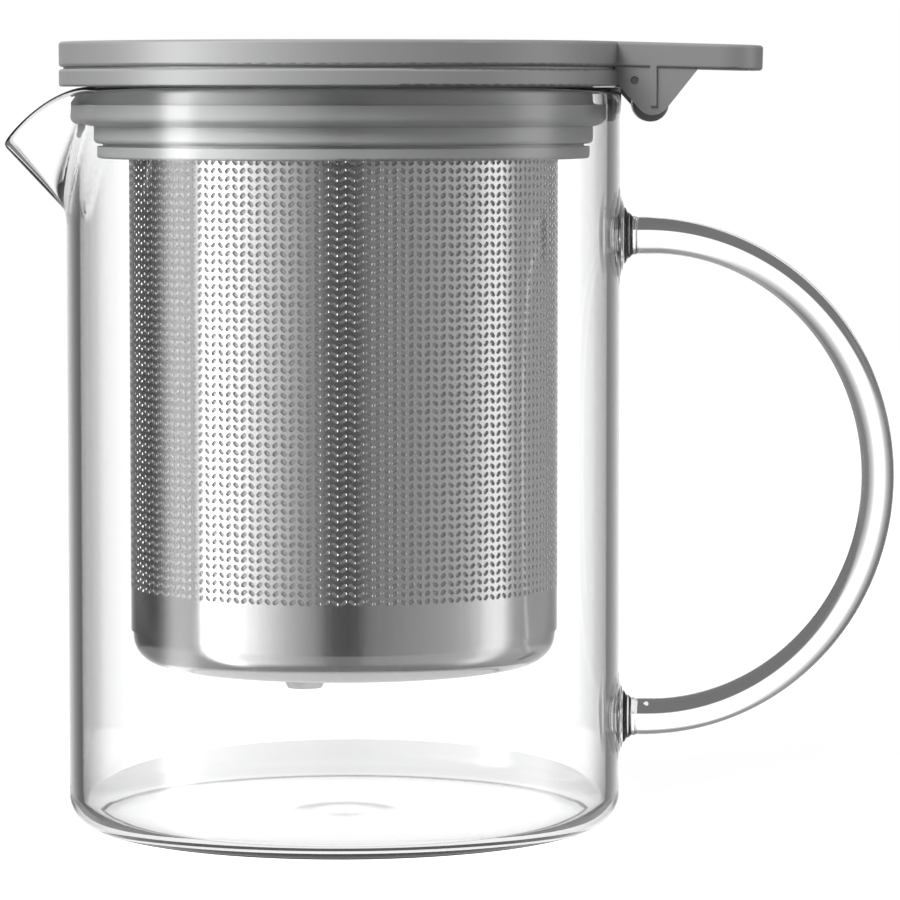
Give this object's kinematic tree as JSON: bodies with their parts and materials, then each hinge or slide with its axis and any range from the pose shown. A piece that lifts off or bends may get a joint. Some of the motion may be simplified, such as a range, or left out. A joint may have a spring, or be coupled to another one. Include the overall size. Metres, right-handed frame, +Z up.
{
  "type": "glass tea maker",
  "caption": "Clear glass jug with a pulled beak spout and a glass rod handle, holding a lift-out perforated steel infuser under a grey lid with a thumb lever.",
  "frame": {"origin": "centre of the jug's base, on the surface that it stands on", "axes": "+Z up the jug's axis, +X towards the handle and the lid's lever, spout towards -X"},
  "size_m": [0.1601, 0.1018, 0.1407],
  "materials": {
    "clear_glass": "clear polished borosilicate glass",
    "grey_plastic": "satin moulded grey plastic",
    "grey_silicone": "soft matt silicone",
    "basket_steel": "bright rolled stainless sheet",
    "pin_steel": "drawn stainless rod"
  },
  "bodies": {
    "jug": {"glass_jug": "clear_glass", "glass_handle": "clear_glass"},
    "infuser": {"infuser_collar": "grey_plastic", "collar_seal": "grey_silicone", "basket_ring": "grey_plastic", "basket_sleeve": "basket_steel", "basket_cup": "basket_steel"},
    "lid": {"lid_cover": "grey_plastic", "lid_liner": "grey_plastic", "lid_seal": "grey_silicone", "hinge_pin": "pin_steel"},
    "bumper": {"bumper_axle": "pin_steel", "bumper_roller": "grey_silicone"}
  },
  "joints": [
    {"name": "infuser_lift", "type": "slide", "parent": "jug", "child": "infuser", "axis": [0, 0, 1], "range_m": [0, 0.112]},
    {"name": "lid_hinge", "type": "hinge", "parent": "infuser", "child": "lid", "pos_m": [0.05165, 0, 0.1338], "axis": [0, 1, 0], "range_deg": [0, 19]},
    {"name": "bumper_spin", "type": "hinge", "parent": "lid", "child": "bumper", "pos_m": [0.05495, 0, 0.1297], "axis": [0, 1, 0], "continuous": true}
  ]
}
